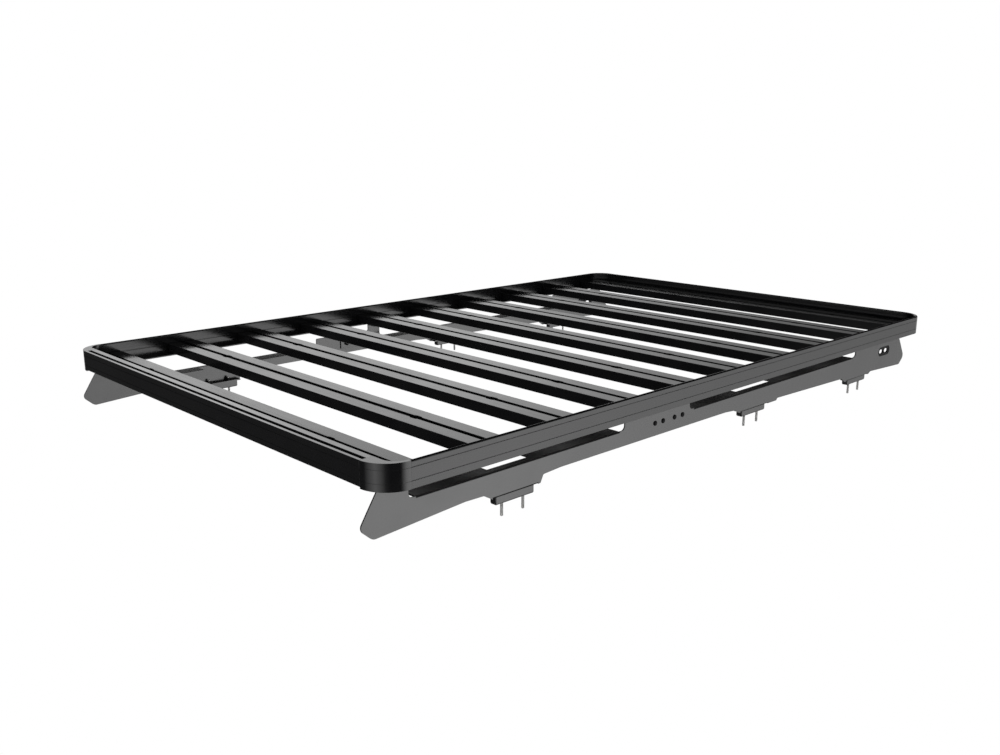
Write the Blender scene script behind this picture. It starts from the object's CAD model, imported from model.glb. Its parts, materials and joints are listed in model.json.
"""Looks of the slatted roof-rack tray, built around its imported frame."""

import json
import math

import bmesh
import bpy
from mathutils import Matrix, Vector


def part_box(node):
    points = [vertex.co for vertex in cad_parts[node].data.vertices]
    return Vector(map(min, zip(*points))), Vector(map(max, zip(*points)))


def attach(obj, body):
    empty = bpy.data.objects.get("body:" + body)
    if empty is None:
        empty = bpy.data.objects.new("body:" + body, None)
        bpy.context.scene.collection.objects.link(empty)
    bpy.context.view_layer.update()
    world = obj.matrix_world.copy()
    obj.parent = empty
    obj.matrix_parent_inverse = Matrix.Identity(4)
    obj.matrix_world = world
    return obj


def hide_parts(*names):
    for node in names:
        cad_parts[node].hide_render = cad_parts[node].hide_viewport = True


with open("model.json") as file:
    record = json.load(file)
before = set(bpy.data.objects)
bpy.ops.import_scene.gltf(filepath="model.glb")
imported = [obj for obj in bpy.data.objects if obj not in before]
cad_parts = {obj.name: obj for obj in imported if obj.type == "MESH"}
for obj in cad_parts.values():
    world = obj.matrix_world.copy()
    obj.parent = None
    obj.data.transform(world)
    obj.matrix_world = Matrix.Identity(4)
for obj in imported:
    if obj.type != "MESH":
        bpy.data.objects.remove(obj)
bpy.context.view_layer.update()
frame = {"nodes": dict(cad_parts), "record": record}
nodes = frame["nodes"]
scene = bpy.context.scene

MM = 0.001
UM = 0.000001
# Corners of a mesh that are closer than this are one corner
MERGE = 0.01 * MM
THREAD_MERGE = 4 * UM
UP = Vector((0, 0, 1))
DOWN = Vector((0, 0, -1))
SIDEWAYS = Vector((0, 1, 0))


# ------------------------------------------------------------------ camera

def make_camera():
    """Stands off the front left corner of the tray and looks back along it."""
    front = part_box("front_profile")[1]
    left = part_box("side_profile_left")[1]
    data = bpy.data.cameras.new("camera")
    data.sensor_width = 36
    data.lens = 35.41
    data.shift_x = -0.0005
    data.shift_y = 0.0005
    data.clip_start = 0.01
    camera = bpy.data.objects.new("camera", data)
    camera.location = (front.x + 0.8757, left.y + 1.1907, left.z + 0.5129)
    camera.rotation_euler = (math.radians(76), 0, math.radians(136.38))
    scene.collection.objects.link(camera)
    scene.camera = camera


# ------------------------------------------------------------------ node trees

class Tree:
    """Short calls for adding nodes to a shader tree and linking them."""

    def __init__(self, tree):
        self.tree = tree
        self.nodes = tree.nodes
        self.nodes.clear()

    def add(self, kind, **settings):
        made = self.nodes.new("ShaderNode" + kind)
        for name, value in settings.items():
            setattr(made, name, value)
        return made

    def feed(self, socket, value):
        if isinstance(value, bpy.types.NodeSocket):
            self.tree.links.new(value, socket)
        else:
            socket.default_value = value

    def math(self, operation, *values):
        made = self.add("Math", operation=operation)
        for socket, value in zip(made.inputs, values):
            self.feed(socket, value)
        return made.outputs[0]

    def span(self, value, low, high, to_low=0.0, to_high=1.0, kind="SMOOTHSTEP"):
        """Maps low..high on to to_low..to_high, held at both ends."""
        made = self.add("MapRange", interpolation_type=kind)
        for socket, given in zip(made.inputs, (value, low, high, to_low, to_high)):
            self.feed(socket, given)
        return made.outputs[0]

    def curve(self, value, points, low, high):
        """Line through (position, level) points, with levels up to 4."""
        place = self.span(value, low, high, kind="LINEAR")
        ramp = self.add("ValToRGB")
        stops = ramp.color_ramp.elements
        while len(stops) < len(points):
            stops.new(0.5)
        for stop, (position, level) in zip(stops, points):
            stop.position = (position - low) / (high - low)
            stop.color = (level / 4, level / 4, level / 4, 1)
        self.feed(ramp.inputs[0], place)
        return self.math("MULTIPLY", ramp.outputs[0], 4.0)

    def noise(self, vector, scale, detail=2.0, roughness=0.5):
        made = self.add("TexNoise")
        self.feed(made.inputs["Vector"], vector)
        self.feed(made.inputs["Scale"], scale)
        self.feed(made.inputs["Detail"], detail)
        self.feed(made.inputs["Roughness"], roughness)
        return made.outputs["Fac"]

    def stretched(self, vector, scale):
        made = self.add("Mapping")
        self.feed(made.inputs["Vector"], vector)
        self.feed(made.inputs["Scale"], scale)
        return made.outputs[0]

    def bump(self, height, distance, strength, normal=None):
        made = self.add("Bump")
        self.feed(made.inputs["Height"], height)
        self.feed(made.inputs["Distance"], distance)
        self.feed(made.inputs["Strength"], strength)
        if normal is not None:
            self.feed(made.inputs["Normal"], normal)
        return made.outputs[0]

    def blend(self, amount, first, second):
        made = self.add("Mix", data_type="RGBA")
        self.feed(made.inputs["Factor"], amount)
        for name, colour in (("A", first), ("B", second)):
            linked = isinstance(colour, bpy.types.NodeSocket)
            self.feed(made.inputs[name], colour if linked else (*colour, 1))
        return made.outputs["Result"]


# ------------------------------------------------------------------ studio

# Azimuth of the studio is in degrees from +X towards +Y, cut at -60.
CUT_LOW, CUT_HIGH = -60, 300
# Level of the light that comes from just below the horizon, by azimuth
LOW_BAND = [
    (-60, 0.045), (-32, 0.05), (-12, 0.70), (8, 1.30), (26, 0.80), (42, 0.14),
    (56, 0.03), (92, 0.03), (111, 1.9), (128, 2.2), (135, 2.0), (146, 1.25),
    (157, 0.65), (190, 0.4), (255, 0.4), (276, 0.045), (300, 0.045),
]
# How the light from above the horizon is spread, by azimuth and by elevation
HIGH_SPREAD = [
    (-60, 0.0), (-30, 0.30), (20, 0.55), (90, 0.55), (116, 0.10), (136, 0.0),
    (196, 0.0), (205, 0.15), (212, 0.32), (220, 0.55), (229, 0.80), (235, 0.76),
    (246, 0.80), (258, 0.30), (272, 0.0), (300, 0.0),
]
HIGH_BAND = [
    (0, 0.0), (5, 0.4), (10, 1.38), (15, 2.08), (20, 1.6), (30, 0.6),
    (42, 0.0), (90, 0.0),
]
FLOOR_SIZE = 60


def make_world():
    """Studio of soft panels round a dark room, seen by the camera as plain white."""
    world = bpy.data.worlds.new("studio")
    world.use_nodes = True
    scene.world = world
    t = Tree(world.node_tree)
    split = t.add("SeparateXYZ")
    t.feed(split.inputs[0], t.add("TexCoord").outputs["Generated"])
    x, y, z = split.outputs
    turn = t.math("DEGREES", t.math("ARCTAN2", y, x))
    azimuth = t.math("WRAP", turn, CUT_HIGH, CUT_LOW)
    height = t.math("DEGREES", t.math("ARCSINE", z))
    low = t.curve(azimuth, LOW_BAND, CUT_LOW, CUT_HIGH)
    low = t.math("MULTIPLY", low, t.span(height, -44, -27, 0.02, 1))
    high = t.math("MULTIPLY", t.curve(height, HIGH_BAND, 0, 90),
                  t.curve(azimuth, HIGH_SPREAD, CUT_LOW, CUT_HIGH))
    level = t.math("ADD", t.math("MULTIPLY", low, t.span(height, 4, -2)),
                   t.math("MULTIPLY", high, t.span(height, -2, 4)))
    dim = t.add("Background")
    t.feed(dim.inputs["Strength"], level)
    white = t.add("Background")
    choose = t.add("MixShader")
    t.feed(choose.inputs[0], t.add("LightPath").outputs["Is Camera Ray"])
    t.feed(choose.inputs[1], dim.outputs[0])
    t.feed(choose.inputs[2], white.outputs[0])
    t.feed(t.add("OutputWorld").inputs[0], choose.outputs[0])
    for background in (dim, white):
        background.inputs["Color"].default_value = (1, 1, 1, 1)


def make_floor():
    """Pale floor that only the camera sees, clear when it is seen from below."""
    mesh = bpy.data.meshes.new("floor")
    half = FLOOR_SIZE / 2
    corners = [(-half, -half, 0), (half, -half, 0), (half, half, 0), (-half, half, 0)]
    mesh.from_pydata(corners, [], [(0, 1, 2, 3)])
    floor = bpy.data.objects.new("floor", mesh)
    scene.collection.objects.link(floor)
    floor.visible_diffuse = False
    floor.visible_glossy = False
    floor.visible_transmission = False
    floor.visible_shadow = False
    material = bpy.data.materials.new("pale_floor")
    material.use_nodes = True
    t = Tree(material.node_tree)
    glow = t.add("Emission")
    glow.inputs["Color"].default_value = (1, 1, 1, 1)
    choose = t.add("MixShader")
    t.feed(choose.inputs[0], t.add("NewGeometry").outputs["Backfacing"])
    t.feed(choose.inputs[1], glow.outputs[0])
    t.feed(choose.inputs[2], t.add("BsdfTransparent").outputs[0])
    t.feed(t.add("OutputMaterial").inputs[0], choose.outputs[0])
    mesh.materials.append(material)


# ------------------------------------------------------------------ materials

def start_material(name):
    material = bpy.data.materials.new(name)
    material.use_nodes = True
    t = Tree(material.node_tree)
    shader = t.add("BsdfPrincipled")
    t.feed(t.add("OutputMaterial").inputs[0], shader.outputs[0])
    place = t.add("TexCoord").outputs["Object"]
    return material, t, shader, place


def powder_coat(name, dark, light, rough, specular=0.95, streak=None, grain=0.5,
                ior=1.5, dust=None):
    """Satin black coat: fine orange-peel grain, soft mottling and a little wear.
    streak stretches the drawing lines that show through, and dust is the colour
    of a matt film on what faces up."""
    material, t, shader, place = start_material(name)
    mottle = t.noise(place, 9.0, 4.0, 0.6)
    peel = t.noise(place, 900.0, 2.0, 0.5)
    fine = t.noise(place, 2600.0, 1.0, 0.5)
    colour = t.blend(t.span(mottle, 0.3, 0.7), dark, light)
    uneven = t.span(mottle, 0.35, 0.65, -0.02, 0.03)
    speckle = t.span(fine, 0.35, 0.65, -0.025, 0.025)
    level = t.math("ADD", t.math("ADD", uneven, speckle), rough)
    normal = t.bump(peel, 60 * UM, grain)
    if streak:
        lines = t.noise(t.stretched(place, streak), 1.0, 3.0, 0.7)
        level = t.math("ADD", level, t.span(lines, 0.3, 0.7, -0.03, 0.04))
        normal = t.bump(lines, 40 * UM, 0.35, normal)
    if dust:
        split = t.add("SeparateXYZ")
        t.feed(split.inputs[0], t.add("TexCoord").outputs["Normal"])
        upward = t.span(split.outputs[2], 0.6, 0.95)
        level = t.math("ADD", level, t.math("MULTIPLY", upward, 0.4))
        colour = t.blend(t.math("MULTIPLY", upward, t.span(mottle, 0.2, 0.6)), colour, dust)
    t.feed(shader.inputs["Base Color"], colour)
    shader.inputs["IOR"].default_value = ior
    t.feed(shader.inputs["Roughness"], level)
    t.feed(shader.inputs["Normal"], normal)
    shader.inputs["Specular IOR Level"].default_value = specular
    return material


def bright_steel(name):
    """Plain steel hardware, drawn and tumbled, with a faint warm stain."""
    material, t, shader, place = start_material(name)
    stain = t.noise(place, 60.0, 4.0, 0.6)
    scratch = t.noise(t.stretched(place, (900.0, 900.0, 4000.0)), 1.0, 3.0, 0.7)
    t.feed(shader.inputs["Base Color"],
           t.blend(t.span(stain, 0.35, 0.7), (0.92, 0.92, 0.91), (0.78, 0.77, 0.75)))
    t.feed(shader.inputs["Roughness"], t.span(scratch, 0.2, 0.8, 0.34, 0.52))
    t.feed(shader.inputs["Normal"], t.bump(scratch, 30 * UM, 0.4))
    shader.inputs["Metallic"].default_value = 0.45
    return material


def black_steel(name):
    """Blackened bolts: dark, a little oily, with rubbed patches."""
    material, t, shader, place = start_material(name)
    rub = t.noise(place, 220.0, 5.0, 0.65)
    t.feed(shader.inputs["Base Color"],
           t.blend(t.span(rub, 0.55, 0.8), (0.005, 0.005, 0.006), (0.022, 0.021, 0.020)))
    t.feed(shader.inputs["Roughness"], t.span(rub, 0.3, 0.8, 0.38, 0.55))
    t.feed(shader.inputs["Normal"], t.bump(rub, 50 * UM, 0.3))
    shader.inputs["Specular IOR Level"].default_value = 0.12
    return material


def rubber(name):
    """Matt gasket rubber with a pebbled skin and a dusty bloom."""
    material, t, shader, place = start_material(name)
    pebble = t.noise(place, 1400.0, 3.0, 0.6)
    bloom = t.noise(place, 35.0, 4.0, 0.6)
    t.feed(shader.inputs["Base Color"],
           t.blend(t.span(bloom, 0.35, 0.75), (0.011, 0.011, 0.011), (0.028, 0.028, 0.027)))
    t.feed(shader.inputs["Roughness"], t.span(bloom, 0.3, 0.7, 0.72, 0.88))
    t.feed(shader.inputs["Normal"], t.bump(pebble, 120 * UM, 0.6))
    return material


def moulded_plastic(name):
    """Fine spark-eroded texture of a black moulding."""
    material, t, shader, place = start_material(name)
    texture = t.noise(place, 1800.0, 2.0, 0.5)
    flow = t.noise(place, 50.0, 3.0, 0.6)
    t.feed(shader.inputs["Base Color"],
           t.blend(t.span(flow, 0.3, 0.7), (0.009, 0.009, 0.010), (0.015, 0.015, 0.016)))
    t.feed(shader.inputs["Roughness"], t.span(flow, 0.3, 0.7, 0.50, 0.62))
    t.feed(shader.inputs["Normal"], t.bump(texture, 50 * UM, 0.5))
    shader.inputs["Specular IOR Level"].default_value = 0.15
    return material


# Stretches of the drawing lines: along a part that lies across the tray, and
# along one that lies along it
ACROSS = (700.0, 3.0, 700.0)
ALONG = (3.0, 700.0, 700.0)
# Darkest and lightest tone of the coat on each kind of part, and the dust
FRAME_TONES = (0.008, 0.008, 0.009), (0.012, 0.012, 0.013)
SLAT_TONES = (0.008, 0.008, 0.009), (0.013, 0.013, 0.014)
RAIL_TONES = (0.010, 0.010, 0.011), (0.015, 0.015, 0.016)
SPACER_TONES = (0.010, 0.010, 0.011), (0.014, 0.014, 0.015)
DUST = (0.085, 0.085, 0.084)


def make_materials():
    """All materials by name. Each record slot has one of its own name."""
    return {
        "front_coat": powder_coat(
            "front_coat", *FRAME_TONES, 0.12, streak=ACROSS, grain=0.25),
        "frame_coat": powder_coat(
            "frame_coat", *FRAME_TONES, 0.15, specular=0.62, streak=ALONG, grain=0.3),
        "corner_coat": powder_coat(
            "corner_coat", *FRAME_TONES, 0.14, specular=0.68, grain=0.3),
        "slat_coat": powder_coat(
            "slat_coat", *SLAT_TONES, 0.12, specular=0.5, streak=ACROSS, grain=0.25, ior=1.34),
        "rail_coat": powder_coat(
            "rail_coat", *RAIL_TONES, 0.22, grain=0.7, dust=DUST),
        "spacer_coat": powder_coat(
            "spacer_coat", *SPACER_TONES, 0.26, grain=0.8),
        "gasket_rubber": rubber("gasket_rubber"),
        "zinc_steel": bright_steel("zinc_steel"),
        "black_steel": black_steel("black_steel"),
        "insert_plastic": moulded_plastic("insert_plastic"),
    }


def material_of(node, slot):
    """The frame's coat differs a little by how each part is made and lies."""
    if slot != "frame_coat":
        return slot
    if node.startswith("corner"):
        return "corner_coat"
    return "frame_coat" if node.startswith("side") else "front_coat"


def dress(obj, material):
    obj.data.materials.clear()
    obj.data.materials.append(material)


def soften_edges(obj, width):
    """Rounds the sharp edges of a CAD piece, as its coat does."""
    weld = obj.modifiers.new("weld", "WELD")
    weld.merge_threshold = MERGE
    bevel = obj.modifiers.new("bevel", "BEVEL")
    bevel.width = width
    bevel.segments = 2
    bevel.limit_method = "ANGLE"
    bevel.angle_limit = math.radians(35)
    bevel.use_clamp_overlap = True
    bevel.harden_normals = True


# ------------------------------------------------------------------ hardware

# Chamfers: a nut's bore, a washer's rim, a bolt's tip and a stud's ends
BORE_CHAMFER = 0.4 * MM
WASHER_CHAMFER = 0.25 * MM
TIP_CHAMFER = 0.5 * MM
STUD_CHAMFER = 0.8 * MM
# Radii of the shanks, heads and bores, and the heads' heights
M5_SHANK_R = 2.5 * MM
M5_HEAD_R, M5_HEAD_H = 4.75 * MM, 2.2 * MM
M6_SHANK_R = 3 * MM
M6_HEAD_R, M6_HEAD_H = 5.25 * MM, 3.3 * MM
SPLICE_HEAD_R, SPLICE_HEAD_H = 5.5 * MM, 2.6 * MM
STUD_NUT_BORE = 2.8 * MM
WASHER_BORE = 3.2 * MM


def islands(node):
    """Lowest and highest corner of each separate solid in a CAD node."""
    mesh = bmesh.new()
    mesh.from_mesh(nodes[node].data)
    bmesh.ops.remove_doubles(mesh, verts=mesh.verts, dist=MERGE)
    left = set(mesh.verts)
    found = []
    while left:
        queue = [left.pop()]
        group = list(queue)
        while queue:
            here = queue.pop()
            for edge in here.link_edges:
                other = edge.other_vert(here)
                if other in left:
                    left.remove(other)
                    queue.append(other)
                    group.append(other)
        low = Vector([min(v.co[k] for v in group) for k in range(3)])
        high = Vector([max(v.co[k] for v in group) for k in range(3)])
        found.append((low, high))
    mesh.free()
    return sorted(found, key=lambda box: tuple(box[0]))


def hex_radius(angle, flat):
    """Distance from the middle of a hexagon to its side, by angle."""
    sixth = math.pi / 3
    return flat / math.cos(angle % sixth - sixth / 2)


def spun(mesh, rings, segments, place, closed=False):
    """Adds a solid from rings of (radius, height), where a radius may be a
    function of the angle and a height a function of the radius there."""
    made = []
    for radius, height in rings:
        row = []
        for k in range(segments):
            angle = 2 * math.pi * k / segments
            r = radius(angle) if callable(radius) else radius
            z = height(r) if callable(height) else height
            point = Vector((r * math.cos(angle), r * math.sin(angle), z))
            row.append(mesh.verts.new(place @ point))
        made.append(row)
    pairs = list(zip(made, made[1:]))
    if closed:
        pairs.append((made[-1], made[0]))
    for lower, upper in pairs:
        for k in range(segments):
            n = (k + 1) % segments
            mesh.faces.new((lower[k], lower[n], upper[n], upper[k]))
    if not closed:
        mesh.faces.new(list(reversed(made[0])))
        mesh.faces.new(made[-1])


def finish_piece(name, mesh, material, slot, *replaced):
    """Turns the built mesh into a shown piece that stands for CAD nodes."""
    bmesh.ops.recalc_face_normals(mesh, faces=mesh.faces)
    data = bpy.data.meshes.new(name)
    mesh.to_mesh(data)
    mesh.free()
    piece = bpy.data.objects.new(name, data)
    scene.collection.objects.link(piece)
    data.materials.append(material)
    data.shade_smooth()
    data.set_sharp_from_angle(angle=math.radians(32))
    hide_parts(*replaced)
    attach(piece, "root")
    return piece


def aim(axis, origin):
    """Matrix that puts a piece built along +Z at origin, pointing along axis."""
    turn = UP.rotation_difference(axis).to_matrix().to_4x4()
    return Matrix.Translation(origin) @ turn


THREAD_PITCH = 1.0 * MM
THREAD_DEPTH = 0.5 * MM
THREAD_STEPS = 14


def threaded_rod(mesh, place, radius, length):
    """Adds a rod with a true helical thread and chamfered ends."""
    n = THREAD_STEPS
    turns = int(length / THREAD_PITCH) + 2

    def point(step, part):
        z = THREAD_PITCH * (step / n - 1 + part)
        z = min(max(z, 0), length)
        limit = radius - STUD_CHAMFER + min(z, length - z, STUD_CHAMFER)
        r = min(radius if part else radius - THREAD_DEPTH, limit)
        angle = 2 * math.pi * step / n
        return mesh.verts.new(place @ Vector((r * math.cos(angle), r * math.sin(angle), z)))

    rows = [(point(step, 0), point(step, 0.5)) for step in range(n * turns + 1)]
    faces = []
    for step in range(n * turns):
        here, there = rows[step], rows[step + 1]
        faces.append((here[0], there[0], there[1], here[1]))
        if step + n + 1 < len(rows):
            over, across = rows[step + n], rows[step + n + 1]
            faces.append((here[1], there[1], across[0], over[0]))
    for face in faces:
        mesh.faces.new(face)


def close_ends(mesh):
    """Merges the squeezed ends of the threads and caps what is left open."""
    bmesh.ops.remove_doubles(mesh, verts=mesh.verts, dist=THREAD_MERGE)
    bmesh.ops.dissolve_degenerate(mesh, edges=mesh.edges, dist=THREAD_MERGE)
    rim = [e for e in mesh.edges if e.is_boundary]
    bmesh.ops.holes_fill(mesh, edges=rim, sides=0)
    bmesh.ops.delete(mesh, geom=[v for v in mesh.verts if not v.link_faces], context="VERTS")


def make_studs(material):
    mesh = bmesh.new()
    for low, high in islands("foot_studs"):
        middle = (low + high) / 2
        place = aim(UP, (middle.x, middle.y, low.z))
        threaded_rod(mesh, place, (high.x - low.x) / 2, high.z - low.z)
    close_ends(mesh)
    finish_piece("studs", mesh, material, "zinc_steel", "foot_studs")


def make_nuts(name, node, axis, bore, material):
    """Chamfered hexagon nuts where a CAD node has its plain ones."""
    mesh = bmesh.new()
    k = max(range(3), key=lambda i: abs(axis[i]))
    for low, high in islands(node):
        origin = (low + high) / 2
        origin[k] = low[k]
        height = high[k] - low[k]
        across = [high[i] - low[i] for i in range(3) if i != k]
        flat = min(across) / 2
        edge = 0.94 * flat
        slope = math.tan(math.radians(30))
        rings = [
            (bore + BORE_CHAMFER, 0), (edge, 0),
            (lambda a: hex_radius(a, flat), lambda r: (r - edge) * slope),
            (lambda a: hex_radius(a, flat), lambda r: height - (r - edge) * slope),
            (edge, height), (bore + BORE_CHAMFER, height),
            (bore, height - BORE_CHAMFER), (bore, BORE_CHAMFER),
        ]
        spun(mesh, rings, 48, aim(axis, origin), closed=True)
    finish_piece(name, mesh, material, "black_steel", node)


def make_washers(material):
    mesh = bmesh.new()
    hole = WASHER_BORE
    edge = WASHER_CHAMFER
    for low, high in islands("foot_washers"):
        middle = (low + high) / 2
        r = (high.x - low.x) / 2
        t = high.z - low.z
        rings = [
            (hole + edge, 0), (r - edge, 0), (r, edge), (r, t - edge),
            (r - edge, t), (hole + edge, t), (hole, t - edge), (hole, edge),
        ]
        spun(mesh, rings, 40, aim(UP, (middle.x, middle.y, low.z)), closed=True)
    finish_piece("washers", mesh, material, "black_steel", "foot_washers")


def button_bolt(mesh, place, head_r, head_h, shank_r, length):
    """Adds a domed head with a hexagon socket on a chamfered shank; the head's
    seat is at z = 0, its top at +head_h and the shank's tip at -length."""
    socket = 0.40 * head_r
    start, stop, steps = math.radians(12), math.radians(78), 4
    dome = []
    for step in range(steps + 1):
        angle = start + (stop - start) * step / steps
        dome.append((head_r * math.cos(angle) / math.cos(start),
                     head_h * (0.28 + 0.72 * math.sin(angle))))
    shank = [(0.5 * shank_r, -length), (shank_r - TIP_CHAMFER, -length),
             (shank_r, -length + TIP_CHAMFER), (shank_r, 0)]
    recess = [(lambda a: hex_radius(a, socket), head_h),
              (lambda a: hex_radius(a, socket), 0.35 * head_h),
              (0.3 * socket, 0.3 * head_h)]
    rings = [*shank, (head_r, 0), *dome, (0.55 * head_r, head_h), *recess]
    spun(mesh, rings, 36, place)


def make_bolts(name, node, head_r, head_h, shank_r, outward, material):
    """Button-head bolts where a CAD node has its plain ones. outward gives the
    direction in which the head of a bolt at a place looks."""
    mesh = bmesh.new()
    for low, high in islands(node):
        middle = (low + high) / 2
        axis = outward(middle, high - low)
        k = max(range(3), key=lambda i: abs(axis[i]))
        whole = high[k] - low[k]
        seat = Vector(middle)
        seat[k] = (high[k] - head_h) if axis[k] > 0 else (low[k] + head_h)
        button_bolt(mesh, aim(axis, seat), head_r, head_h, shank_r, whole - head_h)
    finish_piece(name, mesh, material, "black_steel", node)


def looks_down(middle, size):
    return DOWN


def looks_out(middle, size):
    return math.copysign(1, middle.y) * SIDEWAYS


def looks_in(middle, size):
    """A corner screw's axis is the one way in which it isn't as wide as its head."""
    spare = [abs(size[i] - 2 * M5_HEAD_R) for i in range(3)]
    k = 0 if spare[0] > spare[1] else 1
    axis = Vector((0, 0, 0))
    axis[k] = -math.copysign(1, middle[k])
    return axis


def make_hardware(made):
    black = made["black_steel"]
    make_studs(made["zinc_steel"])
    make_nuts("nuts", "foot_nuts", UP, STUD_NUT_BORE, black)
    make_washers(black)
    make_nuts("inner_nuts", "splice_nuts", SIDEWAYS, M6_SHANK_R, black)
    make_bolts("splice_screws", "splice_bolts", SPLICE_HEAD_R, SPLICE_HEAD_H, M6_SHANK_R,
               looks_out, black)
    make_bolts("slat_screws", "slat_bolts", M6_HEAD_R, M6_HEAD_H, M6_SHANK_R,
               looks_down, black)
    make_bolts("rail_screws", "rail_bolts", M6_HEAD_R, M6_HEAD_H, M6_SHANK_R,
               looks_down, black)
    make_bolts("frame_screws", "corner_screws", M5_HEAD_R, M5_HEAD_H, M5_SHANK_R,
               looks_in, black)


# ------------------------------------------------------------------ assembly

# CAD nodes that a piece of this script stands for
REPLACED = {
    "foot_studs", "foot_nuts", "foot_washers", "splice_nuts",
    "splice_bolts", "slat_bolts", "rail_bolts", "corner_screws",
}
# Width of the softened edges, by record slot
EDGE = {"frame_coat": 0.4 * MM, "slat_coat": 0.3 * MM, "rail_coat": 0.5 * MM,
        "spacer_coat": 0.8 * MM, "gasket_rubber": 0.4 * MM, "zinc_steel": 0.4 * MM,
        "insert_plastic": 0.5 * MM}


def dress_cad(made):
    slots = {row["node"]: row["material_slot"] for row in frame["record"]["subparts"]}
    for node in sorted(nodes):
        if node in REPLACED:
            continue
        slot = slots[node]
        dress(nodes[node], made[material_of(node, slot)])
        if not node.startswith("corner"):
            soften_edges(nodes[node], EDGE[slot])


scene.view_settings.view_transform = "Standard"
make_camera()
make_world()
make_floor()
materials = make_materials()
dress_cad(materials)
make_hardware(materials)
